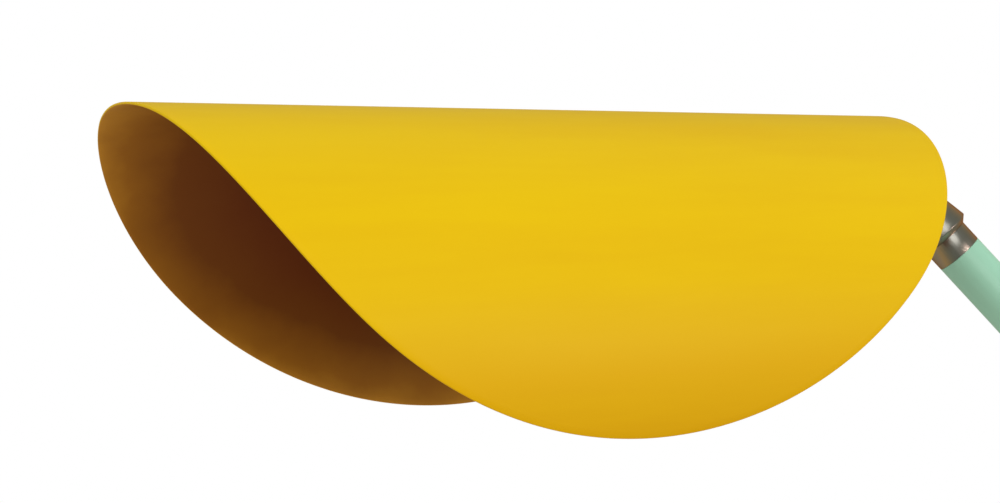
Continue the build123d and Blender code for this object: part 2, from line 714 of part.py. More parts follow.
nut_foot = UNION_THREAD + 2
with BuildPart() as union_nut:
    with BuildSketch(Plane.XY.offset(nut_foot)):
        add(hexagon(union_nut_hex))
    extrude(amount=union_flange + UNION_COLLAR + NUT - nut_foot)
    chamfer(union_nut.faces().sort_by(Axis.Z)[0].edges(), 1.2)
    chamfer(union_nut.faces().sort_by(Axis.Z)[-1].edges(), 1.2)
    with BuildSketch(Plane.XY.offset(UNION_THREAD)):
        Circle(union_thread + FIT)
    extrude(amount=union_flange + UNION_COLLAR + FIT - UNION_THREAD, mode=Mode.SUBTRACT)
    with BuildSketch(Plane.XY.offset(UNION_THREAD)):
        Circle(union_sleeve + FIT)
    extrude(amount=union_flange + UNION_SLEEVE - UNION_THREAD, mode=Mode.SUBTRACT)
save(union_nut, "union_nut", RISER)

ARM_START = union_flange + UNION_STOP + FIT
bend_corner = Vector(-PIPE_STANDOFF, 0, BEND_START + ARM_BEND * tan(radians(bend_turn / 2)))
with BuildLine() as arm_route:
    FilletPolyline(
        (-PIPE_STANDOFF, 0, ARM_START),
        bend_corner,
        tube_end - arm_up * FIT,
        radius=ARM_BEND,
    )
save(tube(arm_route.line, PIPE_RADIUS, PIPE_BORE), "supply_arm")

# ---------------------------------------------------------------- stay-open valve
STEM_RADIUS = 7.0
PACKING_RADIUS = 10.5
PACKING = 7.0
PACKING_AT = BONNET - 11
HOUSING_RADIUS = 15.0
with BuildPart() as valve_body:
    Cylinder(BODY_RADIUS, 2 * VALVE_HALF)
    with BuildSketch(Plane.XZ):
        Circle(HOUSING_RADIUS)
    extrude(amount=BONNET)
    Cylinder(CAVITY, 2 * VALVE_HALF, mode=Mode.SUBTRACT)
    with BuildSketch(Plane.XZ):
        Circle(STEM_RADIUS + RUN)
    extrude(amount=BONNET, mode=Mode.SUBTRACT)
    with BuildSketch(Plane.XZ.offset(PACKING_AT)):
        Circle(PACKING_RADIUS)
    extrude(amount=BONNET - PACKING_AT, mode=Mode.SUBTRACT)
save(valve_body, "valve_body", RISER)

bolt_reach = (BODY_RADIUS + 2 * VALVE_BOLT_RADIUS + 0.3) / sqrt(2)
bolt_grid = [(x, y) for x in (-bolt_reach, bolt_reach) for y in (-bolt_reach, bolt_reach)]
flange_side = 2 * (bolt_reach + 10)
for label, turn in (("upper", 0), ("lower", 180)):
    with BuildPart() as valve_cap:
        with BuildSketch(Plane.XY.offset(VALVE_HALF + FIT)):
            RectangleRounded(flange_side, flange_side, 8)
            with Locations(*bolt_grid):
                Circle(VALVE_BOLT_RADIUS + SCREW_GAP, mode=Mode.SUBTRACT)
        extrude(amount=VALVE_CAP)
        with BuildSketch(Plane.XY.offset(VALVE_HALF + VALVE_CAP)):
            Circle(PIPE_RADIUS + HUB_WALL)
        extrude(amount=VALVE_HUB)
        chamfer(valve_cap.faces().sort_by(Axis.Z)[-1].edges(), 1.5)
        with BuildSketch(Plane.XY):
            Circle(VALVE_PORT)
        extrude(amount=HUB_END, mode=Mode.SUBTRACT)
        with BuildSketch(Plane.XY.offset(HUB_END - HUB_SOCKET)):
            Circle(PIPE_RADIUS + FIT)
        extrude(amount=HUB_SOCKET, mode=Mode.SUBTRACT)
    turned = Plane(origin=RISER.origin, x_dir=(1, 0, 0), z_dir=(0, 0, cos(radians(turn))))
    save(valve_cap, f"valve_cap_{label}", turned)

with BuildPart() as valve_seats:
    with BuildSketch(Plane.XY.offset(VALVE_HALF - FIT)):
        Circle(CAVITY - FIT)
        Circle(VALVE_PORT, mode=Mode.SUBTRACT)
    extrude(amount=-12)
    mirror(about=Plane.XY)
    Sphere(VALVE_BALL + RUN, mode=Mode.SUBTRACT)
save(valve_seats, "valve_seats", RISER)

BOLT_HEAD = 5.3
BOLT_TAIL = 9.0  # how far each bolt reaches past the far cap
bolt_end = VALVE_HALF + VALVE_CAP + FIT
with BuildPart() as valve_bolts:
    with BuildSketch(Plane.XY.offset(bolt_end + FIT)):
        with Locations(*bolt_grid):
            RegularPolygon(M8_HEX / 2, 6, major_radius=False)
    extrude(amount=BOLT_HEAD)
    with BuildSketch(Plane.XY.offset(-bolt_end - FIT)):
        with Locations(*bolt_grid):
            RegularPolygon(M8_HEX / 2, 6, major_radius=False)
    extrude(amount=-NUT)
    with BuildSketch(Plane.XY.offset(-bolt_end - BOLT_TAIL)):
        with Locations(*bolt_grid):
            Circle(VALVE_BOLT_RADIUS)
    extrude(amount=2 * bolt_end + BOLT_TAIL + 1)
save(valve_bolts, "valve_bolts", RISER)

with BuildPart() as packing:
    with BuildSketch(Plane.XZ.offset(PACKING_AT + FIT)):
        Circle(PACKING_RADIUS - FIT)
        Circle(STEM_RADIUS + RUN, mode=Mode.SUBTRACT)
    extrude(amount=PACKING)
save(packing, "stem_packing", RISER)

GLAND_HEX = 27.0
GLAND_HEIGHT = 8.0
with BuildPart() as gland:
    with BuildSketch(Plane.XZ.offset(BONNET + FIT)):
        add(hexagon(GLAND_HEX))
    extrude(amount=GLAND_HEIGHT)
    chamfer(gland.faces().sort_by(Axis.Y)[0].edges(), 1)
    with BuildSketch(Plane.XZ.offset(PACKING_AT + PACKING + 2 * FIT)):
        Circle(PACKING_RADIUS - FIT)
    extrude(amount=NUT)
    with BuildSketch(Plane.XZ):
        Circle(STEM_RADIUS + RUN)
    extrude(amount=2 * BONNET, mode=Mode.SUBTRACT)
save(gland, "gland_nut", RISER)

LEVER_REST = 45.0  # the closed lever's angle above the horizontal
lever_way = Vector(-cos(radians(LEVER_REST)), 0, sin(radians(LEVER_REST)))
lever_back = BONNET + 19
THREAD_RADIUS = 4.0  # the stem's threaded end, M8
LEVER = Plane(origin=(-PIPE_STANDOFF, -lever_back, 0), x_dir=lever_way, z_dir=(0, -1, 0))
TANG_THICK = 6.0
TANG_WIDE = 14.0
TANG_DEPTH = 4.0
SQUARE = 9.0
with BuildPart() as valve_ball:
    Sphere(VALVE_BALL)
    with BuildSketch(Plane.YZ):
        Circle(VALVE_PORT)
    extrude(amount=VALVE_BALL, both=True, mode=Mode.SUBTRACT)
    with BuildSketch(Plane.XZ.offset(VALVE_BALL - TANG_DEPTH)):
        Rectangle(TANG_WIDE + 2 * FIT, TANG_THICK + 2 * FIT)
    extrude(amount=VALVE_BALL, mode=Mode.SUBTRACT)
save(valve_ball, "valve_ball", RISER)

STEM_SHOULDER = 0.6
stem_foot = VALVE_BALL + STEM_SHOULDER
with BuildPart() as valve_stem:
    with BuildSketch(Plane.XZ.offset(stem_foot)):
        Circle(STEM_RADIUS)
    extrude(amount=lever_back - FIT - stem_foot)
    with BuildSketch(Plane.XZ.offset(VALVE_BALL - TANG_DEPTH + FIT)):
        Rectangle(TANG_WIDE - 1.5, TANG_THICK)
    extrude(amount=TANG_DEPTH + STEM_SHOULDER)
    with BuildSketch(Plane(origin=(0, -lever_back + FIT, 0), x_dir=lever_way, z_dir=(0, -1, 0))):
        Rectangle(SQUARE, SQUARE)
    extrude(amount=LEVER_THICK)
    with BuildSketch(Plane.XZ.offset(lever_back)):
        Circle(THREAD_RADIUS)
    extrude(amount=LEVER_THICK + WASHER + NUT + 2.6)
save(valve_stem, "valve_stem", RISER)

PIN_RADIUS = 5.0
LEVER_ROOT = 17.0
LEVER_TIP = 11.0
with BuildPart() as lever_arm:
    with BuildSketch():
        Circle(LEVER_ROOT)
        with Locations((LEVER_REACH, 0)):
            Circle(LEVER_TIP)
        make_hull()
    extrude(amount=LEVER_THICK)
    with BuildSketch():
        Rectangle(SQUARE + 2 * FIT, SQUARE + 2 * FIT)
        with Locations((LEVER_REACH, 0)):
            Circle(PIN_RADIUS + FIT)
    extrude(amount=LEVER_THICK, mode=Mode.SUBTRACT)
    outline = lever_arm.edges().filter_by(lambda edge: edge.length > 2 * LEVER_TIP)
    fillet(outline, LEVER_THICK / 4)
save(lever_arm, "lever_arm", LEVER)

with BuildPart() as lever_nut:
    with BuildSketch(Plane.XY.offset(LEVER_THICK + FIT)):
        Circle(M8_WASHER)
    extrude(amount=WASHER)
    with BuildSketch(Plane.XY.offset(LEVER_THICK + WASHER)):
        add(hexagon(M8_HEX))
    extrude(amount=NUT)
    chamfer(lever_nut.faces().sort_by(Axis.Z)[-1].edges(), 0.8)
    with BuildSketch():
        Circle(THREAD_RADIUS + FIT)
    extrude(amount=4 * NUT, mode=Mode.SUBTRACT)
save(lever_nut, "lever_nut", LEVER)

# ---------------------------------------------------------------- pull rod and handle
lever_tip = LEVER.origin + lever_way * LEVER_REACH
TIP = Plane(origin=lever_tip, x_dir=(1, 0, 0), z_dir=(0, -1, 0))
EYE_THICK = 13.5
EYE_RADIUS = 12.0
PIN_HEAD = 8.5
PIN_RIVET = 8.0
eye_middle = LEVER_THICK + 0.1 + EYE_THICK / 2
with BuildPart() as rod_pin:
    with BuildSketch(Plane.XY.offset(-FIT)):
        Circle(PIN_HEAD)
    extrude(amount=-4)
    chamfer(rod_pin.faces().sort_by(Axis.Z)[0].edges(), 1)
    with BuildSketch(Plane.XY.offset(-1)):
        Circle(PIN_RADIUS)
    extrude(amount=1 + LEVER_THICK + EYE_THICK + 0.3)
    with BuildSketch(Plane.XY.offset(LEVER_THICK + EYE_THICK + 0.2)):
        Circle(PIN_RIVET)
    extrude(amount=3)
    fillet(rod_pin.faces().sort_by(Axis.Z)[-1].edges(), 1.4)
save(rod_pin, "rod_pin", TIP)

ROD_TOP = Plane(origin=lever_tip - Vector(0, eye_middle, 0))
EYE_SHANK = 36.0
ROD_START = 18.0
with BuildPart() as rod_eye:
    with BuildSketch(Plane.XZ):
        Circle(EYE_RADIUS)
    extrude(amount=EYE_THICK / 2, both=True)
    with BuildSketch(Plane.XY.offset(-EYE_SHANK)):
        Circle(M8_HEX / 2)
    extrude(amount=EYE_SHANK - EYE_RADIUS / 2)
    with BuildSketch(Plane.XZ):
        Circle(PIN_RADIUS + RUN)
    extrude(amount=EYE_THICK, both=True, mode=Mode.SUBTRACT)
    with BuildSketch(Plane.XY.offset(-EYE_SHANK)):
        Circle(ROD_RADIUS + FIT)
    extrude(amount=EYE_SHANK - ROD_START + FIT, mode=Mode.SUBTRACT)
save(rod_eye, "rod_eye", ROD_TOP)

rod_end = ROD_START + ROD_LENGTH
with BuildPart() as pull_rod:
    with BuildSketch(Plane.XY.offset(-rod_end)):
        Circle(ROD_RADIUS)
    extrude(amount=ROD_LENGTH)
save(pull_rod, "pull_rod", ROD_TOP)

HANDLE_CORNER = 16.0
HANDLE_BOSS = 30.0
HANDLE_BOSS_RADIUS = 9.0
BOSS_FLOOR = 8.0
boss_top = rod_end - HANDLE_BOSS + BOSS_FLOOR
with BuildPart() as rod_nuts:
    for height in (-EYE_SHANK - FIT - NUT, -boss_top + FIT):
        with BuildSketch(Plane.XY.offset(height)):
            add(hexagon(M8_HEX))
            Circle(ROD_RADIUS + FIT, mode=Mode.SUBTRACT)
        extrude(amount=NUT)
save(rod_nuts, "rod_nuts", ROD_TOP)

handle_top = rod_end + BOSS_FLOOR - 10
half_side = HANDLE_SIDE / 2
handle_foot = handle_top + HANDLE_SIDE * cos(radians(30))
with BuildLine(Plane.YZ) as handle_route:
    Polyline(
        (half_side, -handle_foot),
        (0, -handle_top + 2 * HANDLE_RADIUS),
        (-half_side, -handle_foot),
        close=True,
    )
    fillet(handle_route.vertices(), HANDLE_CORNER)
with BuildPart() as pull_handle:
    handle_wire = handle_route.wire()
    with BuildSketch(Plane(origin=handle_wire @ 0, z_dir=handle_wire % 0)):
        Circle(HANDLE_RADIUS)
    sweep(path=handle_wire)
    with BuildSketch(Plane.XY.offset(-boss_top)):
        Circle(HANDLE_BOSS_RADIUS)
    extrude(amount=-HANDLE_BOSS)
    chamfer(pull_handle.faces().sort_by(Axis.Z)[-1].edges(), 1)
    with BuildSketch(Plane.XY.offset(-rod_end - FIT)):
        Circle(ROD_RADIUS + FIT)
    extrude(amount=HANDLE_BOSS, mode=Mode.SUBTRACT)
save(pull_handle, "pull_handle", ROD_TOP)

# ---------------------------------------------------------------- inlet
INLET_SOCKET = 48.0
INLET_WALL = 5.15
NIPPLE_DEPTH = 20.0
nipple_bottom = INLET_END - INLET_SOCKET + NIPPLE_DEPTH
with BuildPart() as inlet_nipple:
    with BuildSketch(Plane.XY.offset(-nipple_bottom + FIT)):
        Circle(PIPE_RADIUS)
        Circle(PIPE_BORE, mode=Mode.SUBTRACT)
    extrude(amount=nipple_bottom - HUB_END + HUB_SOCKET - 2 * FIT)
save(inlet_nipple, "inlet_nipple", RISER)

with BuildPart() as inlet_socket:
    with BuildSketch(Plane.XY.offset(-INLET_END)):
        Circle(PIPE_RADIUS + INLET_WALL)
    extrude(amount=INLET_SOCKET)
    chamfer(inlet_socket.edges(), 1.2)
    with BuildSketch(Plane.XY.offset(-INLET_END)):
        Circle(PIPE_BORE)
    extrude(amount=INLET_SOCKET, mode=Mode.SUBTRACT)
    with BuildSketch(Plane.XY.offset(-INLET_END)):
        Circle(INLET_THREAD)
    extrude(amount=INLET_DEPTH, mode=Mode.SUBTRACT)
    with BuildSketch(Plane.XY.offset(-nipple_bottom)):
        Circle(PIPE_RADIUS + FIT)
    extrude(amount=NIPPLE_DEPTH, mode=Mode.SUBTRACT)
save(inlet_socket, "inlet_socket", RISER)

# ---------------------------------------------------------------- wall plate and clamps
with BuildPart() as wall_plate:
    with BuildSketch(Plane.YZ):
        RectangleRounded(PLATE_WIDTH, PLATE_HEIGHT, PLATE_CORNER)
        with GridLocations(WALL_HOLES_ACROSS, WALL_HOLES_UP, 2, 2):
            Circle(WALL_HOLE_RADIUS, mode=Mode.SUBTRACT)
    extrude(amount=-PLATE_SHEET)
    chamfer(wall_plate.faces().sort_by(Axis.X)[0].outer_wire().edges(), 0.8)
save(wall_plate, "wall_plate")

liner_outer = PIPE_RADIUS + FIT + LINER
band_inner = liner_outer + FIT
band_outer = band_inner + CLAMP_BAND
SPLIT = 1.0
EAR = 6.0
BASE_RADIUS = 24.0
POST_RADIUS = 10.0
clamp_bolt_at = band_outer + M6_HEX / 2 + 1.6
ear_end = clamp_bolt_at + 8
with BuildPart() as standoffs:
    for height in (-CLAMP_AT, CLAMP_AT):
        with BuildSketch(Plane.YZ.offset(-PLATE_SHEET - FIT)):
            with Locations((0, height)):
                Circle(BASE_RADIUS)
        extrude(amount=-PLATE_SHEET)
        with BuildSketch(Plane.YZ.offset(-PLATE_SHEET - FIT)):
            with Locations((0, height)):
                Circle(POST_RADIUS)
        extrude(amount=-PIPE_STANDOFF + PLATE_SHEET)
        with BuildSketch(Plane(origin=(-PIPE_STANDOFF, 0, height))):
            Circle(band_outer + FIT)
        extrude(amount=CLAMP_WIDTH, both=True, mode=Mode.SUBTRACT)
save(standoffs, "clamp_standoffs")

with BuildPart() as liners:
    for height in (-CLAMP_AT, CLAMP_AT):
        with BuildSketch(Plane.XY.offset(height)):
            Circle(liner_outer)
            Circle(PIPE_RADIUS + FIT, mode=Mode.SUBTRACT)
        extrude(amount=CLAMP_WIDTH / 2 + 1, both=True)
save(liners, "clamp_liners", RISER)

for label, height in (("upper", CLAMP_AT), ("lower", -CLAMP_AT)):
    for side, sign in (("back", 1), ("front", -1)):
        with BuildPart() as half:
            with BuildSketch():
                Circle(band_outer)
                with Locations((sign * (SPLIT + EAR / 2), 0)):
                    Rectangle(EAR, 2 * ear_end)
                Circle(band_inner, mode=Mode.SUBTRACT)
                with Locations((-sign * (ear_end - SPLIT), 0)):
                    Rectangle(2 * ear_end, 2 * ear_end, mode=Mode.SUBTRACT)
            extrude(amount=CLAMP_WIDTH / 2, both=True)
            with BuildSketch(Plane.YZ):
                with Locations((-clamp_bolt_at, 0), (clamp_bolt_at, 0)):
                    Circle(CLAMP_BOLT_RADIUS + SCREW_GAP)
            extrude(amount=sign * 2 * (SPLIT + EAR), mode=Mode.SUBTRACT)
        save(half, f"clamp_{side}_{label}", Plane(origin=(-PIPE_STANDOFF, 0, height)))

CLAMP_HEAD = 4.5
ear_face = SPLIT + EAR + FIT
with BuildPart() as clamp_bolts:
    for height in (-CLAMP_AT, CLAMP_AT):
        for way in (-1, 1):
            with BuildSketch(Plane.YZ.offset(way * ear_face)):
                with Locations((-clamp_bolt_at, height), (clamp_bolt_at, height)):
                    RegularPolygon(M6_HEX / 2, 6, major_radius=False)
            extrude(amount=way * CLAMP_HEAD)
        with BuildSketch(Plane.YZ.offset(-ear_face - 1)):
            with Locations((-clamp_bolt_at, height), (clamp_bolt_at, height)):
                Circle(CLAMP_BOLT_RADIUS)
        extrude(amount=2 * ear_face + 8)
save(clamp_bolts, "clamp_bolts", RISER)
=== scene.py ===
# %% [markdown]
# # An emergency safety shower in powder coat and polished steel
#
# This notebook dresses a wall-mounted emergency safety shower. Its hood is one disc of sheet steel, bent
# into a trough and powder coated yellow, and it hangs on a ball joint at the end of a mint-green pipe.
# The engineering model gives every solid its place and its joints. What is left for us is what the eye
# reads: finishes, soft edges, welds, threads and light.

import json
from math import atan2, cos, pi, radians, sin, tau

import bmesh
import bpy
from mathutils import Matrix, Vector


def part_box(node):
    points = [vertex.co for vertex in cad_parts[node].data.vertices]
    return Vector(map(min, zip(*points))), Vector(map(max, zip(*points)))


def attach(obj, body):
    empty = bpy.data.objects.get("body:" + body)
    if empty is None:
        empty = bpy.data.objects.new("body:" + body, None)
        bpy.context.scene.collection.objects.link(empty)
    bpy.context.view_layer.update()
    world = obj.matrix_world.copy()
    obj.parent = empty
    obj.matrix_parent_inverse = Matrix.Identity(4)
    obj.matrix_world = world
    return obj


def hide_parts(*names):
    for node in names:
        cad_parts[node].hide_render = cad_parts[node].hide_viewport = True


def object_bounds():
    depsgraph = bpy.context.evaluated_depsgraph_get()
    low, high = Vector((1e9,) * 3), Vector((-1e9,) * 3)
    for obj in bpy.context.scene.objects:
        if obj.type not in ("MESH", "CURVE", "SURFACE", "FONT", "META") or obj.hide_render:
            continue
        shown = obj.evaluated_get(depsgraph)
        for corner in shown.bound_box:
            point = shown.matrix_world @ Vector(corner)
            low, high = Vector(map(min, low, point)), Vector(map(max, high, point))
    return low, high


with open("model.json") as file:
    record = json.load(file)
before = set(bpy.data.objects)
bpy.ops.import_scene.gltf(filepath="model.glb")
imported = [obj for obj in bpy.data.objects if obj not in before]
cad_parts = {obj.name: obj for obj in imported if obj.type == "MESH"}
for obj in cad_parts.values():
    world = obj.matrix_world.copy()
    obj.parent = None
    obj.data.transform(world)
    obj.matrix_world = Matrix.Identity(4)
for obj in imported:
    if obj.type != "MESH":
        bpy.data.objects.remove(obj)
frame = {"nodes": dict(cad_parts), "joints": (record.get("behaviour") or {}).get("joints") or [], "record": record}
cad_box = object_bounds()
MM = 0.001

# %% [markdown]
# ## Where things are
#
# The head of the shower is swung sideways, so it has axes of its own: *along* its ridge, *across* it, and
# up. The tilt joint's axis runs straight across the hood, so it gives us all three without measuring by
# eye.

# %% The head's axes
joints = {joint["name"]: joint for joint in frame["joints"]}
across = Vector(joints["head_tilt"]["axis"]).normalized()
up = Vector((0, 0, 1))
along = across.cross(up)

hood_low, hood_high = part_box("hood")
ridge_middle = Vector(((hood_low.x + hood_high.x) / 2, (hood_low.y + hood_high.y) / 2, hood_high.z))
head_turn = Matrix((along, across, up)).transposed()
head_place = Matrix.Translation(ridge_middle) @ head_turn.to_4x4()
along_angle = atan2(along.y, along.x)
HOOD_DEPTH = hood_high.z - hood_low.z
print("ridge middle", [round(v, 4) for v in ridge_middle])

# %% [markdown]
# ## Camera
#
# The camera stands level with the hood, a little more than a metre away, and looks at it from about thirty
# degrees off its broad side, so the free end's opening shows. Its place is given in the head's own axes,
# because a camera is easiest to place from what it looks at: so far to the left, so far back, so far down.

# %% The camera, in the head's own axes
EYE = Vector((-553.2, -884.2, -73.2)) * MM
TURN_FROM_SQUARE = radians(30.58)
NOSE_DOWN = radians(0.69)
ROLL = radians(1.33)
FOCAL_LENGTH = 61.27

camera_data = bpy.data.cameras.new("camera")
camera_data.lens = FOCAL_LENGTH
camera_data.sensor_width = 36
camera_data.clip_start = 0.01
camera_data.clip_end = 100
camera = bpy.data.objects.new("camera", camera_data)
bpy.context.scene.collection.objects.link(camera)
aim = (
    Matrix.Rotation(-TURN_FROM_SQUARE, 4, "Z")
    @ Matrix.Rotation(-NOSE_DOWN, 4, "X")
    @ Matrix.Rotation(ROLL, 4, "Y")
    @ Matrix.Rotation(pi / 2, 4, "X")
)
camera.matrix_world = head_place @ Matrix.Translation(EYE) @ aim
bpy.context.scene.camera = camera
print("camera at", [round(v, 3) for v in camera.matrix_world.translation])

# %% [markdown]
# ## Colour and nodes
#
# Paint makers give colours as hex values, which are sRGB. Shaders work in linear light, so one function
# converts them. A second small function adds a node, sets it and links it, which keeps each material short
# enough to read as a recipe.

# %% Two helpers for every material


def linear(hex_colour):
    """A hex sRGB colour as a linear RGBA tuple."""
    channels = [int(hex_colour[i : i + 2], 16) / 255 for i in (1, 3, 5)]
    return tuple(c / 12.92 if c <= 0.04045 else ((c + 0.055) / 1.055) ** 2.4 for c in channels) + (1,)


def add_node(tree, kind, links=None, **settings):
    """Adds a node. Settings set inputs or else attributes, and links maps inputs to outputs."""
    node = tree.nodes.new(kind)
    for key, value in settings.items():
        name = key.replace("_", " ")
        if name in node.inputs:
            node.inputs[name].default_value = value
        else:
            setattr(node, key, value)
    for key, output in (links or {}).items():
        tree.links.new(output, node.inputs[key])
    return node


def new_finish(name, **surface):
    """A material with a Principled surface, its node tree, and object coordinates in metres."""
    material = bpy.data.materials.new(name)
    material.use_nodes = True
    tree = material.node_tree
    shader = tree.nodes["Principled BSDF"]
    for key, value in surface.items():
        shader.inputs[key.replace("_", " ")].default_value = value
    place = add_node(tree, "ShaderNodeTexCoord").outputs["Object"]
    return material, tree, shader, place


def ramp(tree, factor, stops):
    """A colour ramp through the given (position, colour) stops."""
    node = add_node(tree, "ShaderNodeValToRGB", {"Fac": factor})
    while len(node.color_ramp.elements) < len(stops):
        node.color_ramp.elements.new(0.5)
    for element, (position, colour) in zip(node.color_ramp.elements, stops):
        element.position = position
        element.color = colour
    return node.outputs["Color"]


def grey(value):
    """A grey of a linear value, for ramps that drive roughness."""
    return (value, value, value, 1)


# %% [markdown]
# ## Polyester powder coat
#
# The hood is mild steel sheet under a baked coat of polyester powder. Powder flows out as it melts but never quite
# flat: it leaves orange peel, a swell of a millimetre or two that only shows where light glances, and long faint
# streaks the way the sheet was rolled. The yellow also gets darker and more orange towards the lower edge: that is
# painted shade, standing in for the warm light the flank gets from below. The coat is a dielectric of IOR about
# 1.5, and its specular level is kept low so that it reads as satin.

# %% Powder coats


def powder_coat(name, shades, thin, roughness, specular, streaks=(1, 1, 1)):
    """Baked powder coat. Its colours run from the hood's lower edge up, with painted shade at the bottom for the
    yellow, and it turns thin in patches.
    """
    material, tree, shader, place = new_finish(name, Metallic=0, IOR=1.5, Specular_IOR_Level=specular)
    height = add_node(tree, "ShaderNodeSeparateXYZ", {"Vector": place})
    share = add_node(
        tree,
        "ShaderNodeMapRange",
        {"Value": height.outputs["Z"]},
        From_Min=ridge_middle.z - HOOD_DEPTH,
        From_Max=ridge_middle.z - 0.35 * HOOD_DEPTH,
    )
    # Painted shade: the base colour darkens and warms towards the lower edge, standing in for warm light from
    # below.
    painted_shade_colour = ramp(tree, share.outputs["Result"], [(at, linear(colour)) for at, colour in shades])
    turned = add_node(tree, "ShaderNodeMapping", {"Vector": place}, Rotation=(0, 0, -along_angle))
    rolled = add_node(tree, "ShaderNodeMapping", {"Vector": turned.outputs["Vector"]}, Scale=streaks)
    film = add_node(
        tree,
        "ShaderNodeTexNoise",
        {"Vector": rolled.outputs["Vector"]},
        Scale=1 / (70 * MM),
        Detail=4,
        Roughness=0.6,
    )
    cloud = add_node(tree, "ShaderNodeMapRange", {"Value": film.outputs["Fac"]}, From_Min=0.62, From_Max=0.3)
    cloud.inputs["To Max"].default_value = 0.5
    tint = add_node(
        tree, "ShaderNodeMixRGB", {"Fac": cloud.outputs["Result"], "Color1": painted_shade_colour}, Color2=linear(thin)
    )
    tree.links.new(tint.outputs["Color"], shader.inputs["Base Color"])
    sheen = ramp(
        tree, film.outputs["Fac"], [(0.3, grey(roughness + 0.05)), (0.7, grey(roughness - 0.03))]
    )
    tree.links.new(sheen, shader.inputs["Roughness"])
    # Real orange peel is about 1.5 mm across. It is drawn at 2.2 mm, so that it still shows from a metre.
    peel = add_node(tree, "ShaderNodeTexNoise", {"Vector": place}, Scale=1 / (2.2 * MM), Detail=1)
    bump = add_node(
        tree, "ShaderNodeBump", {"Height": peel.outputs["Fac"]}, Strength=0.14, Distance=0.05 * MM
    )
    tree.links.new(bump.outputs["Normal"], shader.inputs["Normal"])
    return material


STREAKS = (0.22, 1, 2.2)
# The lower yellows are painted shade, darker and more orange towards the lower edge.
YELLOWS_WITH_PAINTED_SHADE = [(0, "#D29A00"), (0.3, "#DFAA00"), (0.6, "#E6B900"), (1, "#E7BD00")]
MINTS = [(0, "#A4D8BA"), (1, "#A6D9BC")]
signal_yellow = powder_coat("powder_coat_signal_yellow", YELLOWS_WITH_PAINTED_SHADE, "#E0AE00", 0.38, 0.09, STREAKS)
mint_green = powder_coat("powder_coat_mint_green", MINTS, "#9CD0B1", 0.34, 0.4)
print("powder coats:", signal_yellow.name, mint_green.name)

# %% [markdown]
# The inside of the hood gets painted shade: amber for a few centimetres behind the rim, turning dark brown further
# into the trough, where the near flank keeps the light out. We assume that this hood's inside is amber for a few
# centimetres behind the rim, and that a brown undercoat shows through further in. The distance from the middle of
# the sheet drives that change. On the bent sheet it is read from the length along the ridge and the drop below it,
# which is stretched because the flank curves away.

# %% The painted shade inside the hood
DISC_RADIUS = 265 * MM
DROP_STRETCH = 1.35


def painted_shade_coat(name, stops, roughness):
    """A matt coat of painted shade, dark in the middle of the bent sheet and lighter towards its rim."""
    material, tree, shader, place = new_finish(name, Roughness=roughness, IOR=1.5, Specular_IOR_Level=0.15)
    from_middle = add_node(tree, "ShaderNodeVectorMath", operation="SUBTRACT")
    tree.links.new(place, from_middle.inputs[0])
    from_middle.inputs[1].default_value = ridge_middle
    turned = add_node(
        tree, "ShaderNodeMapping", {"Vector": from_middle.outputs["Vector"]}, Rotation=(0, 0, -along_angle)
    )
    flat = add_node(tree, "ShaderNodeVectorMath", operation="MULTIPLY")
    tree.links.new(turned.outputs["Vector"], flat.inputs[0])
    flat.inputs[1].default_value = (1 / DISC_RADIUS, 0, DROP_STRETCH / DISC_RADIUS)
    reach = add_node(tree, "ShaderNodeVectorMath", operation="LENGTH")
    tree.links.new(flat.outputs["Vector"], reach.inputs[0])
    # A noise makes the edge of the painted shade wander.
    shade_wobble = add_node(tree, "ShaderNodeTexNoise", {"Vector": place}, Scale=1 / (45 * MM), Detail=5)
    wander = add_node(tree, "ShaderNodeMapRange", {"Value": shade_wobble.outputs["Fac"]})
    wander.inputs["To Min"].default_value = -0.07
    wander.inputs["To Max"].default_value = 0.07
    mixed = add_node(tree, "ShaderNodeMath", operation="ADD")
    tree.links.new(reach.outputs["Value"], mixed.inputs[0])
    tree.links.new(wander.outputs["Result"], mixed.inputs[1])
    tint = ramp(tree, mixed.outputs["Value"], [(at, linear(colour)) for at, colour in stops])
    tree.links.new(tint, shader.inputs["Base Color"])
    grain = add_node(tree, "ShaderNodeTexNoise", {"Vector": place}, Scale=1 / (1.6 * MM), Detail=2)
    bump = add_node(
        tree, "ShaderNodeBump", {"Height": grain.outputs["Fac"]}, Strength=0.2, Distance=0.05 * MM
    )
    tree.links.new(bump.outputs["Normal"], shader.inputs["Normal"])
    return material


# Painted shade: dark brown deep in the trough, lightening to amber near the rim.
INSIDE_PAINTED_SHADE = [(0.55, "#6E2E0C"), (0.78, "#7A410D"), (0.90, "#A06414"), (1.0, "#CF8F26")]
inside_painted_shade = painted_shade_coat("powder_coat_inside_painted_shade", INSIDE_PAINTED_SHADE, 0.6)

# %% [markdown]
# ## Metals
#
# Bare metal has no colour of its own beneath the reflection, so metallic is 1 and the base colour is the
# tint of what it mirrors. What tells one metal part from another is its surface: turned and polished
# stainless on the joint, bead-blasted investment casting on the valve, bright zinc on the screws.

# %% Turned, cast and plated metals


def metal(name, colour, smooth, rough, grain, bump_height, stretch=(1, 1, 1)):
    """Metal whose polish wanders between two roughnesses over a grain of the given size in millimetres."""
    material, tree, shader, place = new_finish(name, Base_Color=linear(colour), Metallic=1)
    stretched = add_node(tree, "ShaderNodeMapping", {"Vector": place}, Scale=stretch)
    cloud = add_node(
        tree, "ShaderNodeTexNoise", {"Vector": stretched.outputs["Vector"]}, Scale=1 / (grain * MM), Detail=4
    )
    polish = ramp(tree, cloud.outputs["Fac"], [(0.35, grey(smooth)), (0.65, grey(rough))])
    tree.links.new(polish, shader.inputs["Roughness"])
    bump = add_node(
        tree, "ShaderNodeBump", {"Height": cloud.outputs["Fac"]}, Strength=0.3, Distance=bump_height * MM
    )
    tree.links.new(bump.outputs["Normal"], shader.inputs["Normal"])
    return material


polished_steel = metal("stainless_turned_polished", "#CBC8BE", 0.30, 0.36, 9, 0.004)
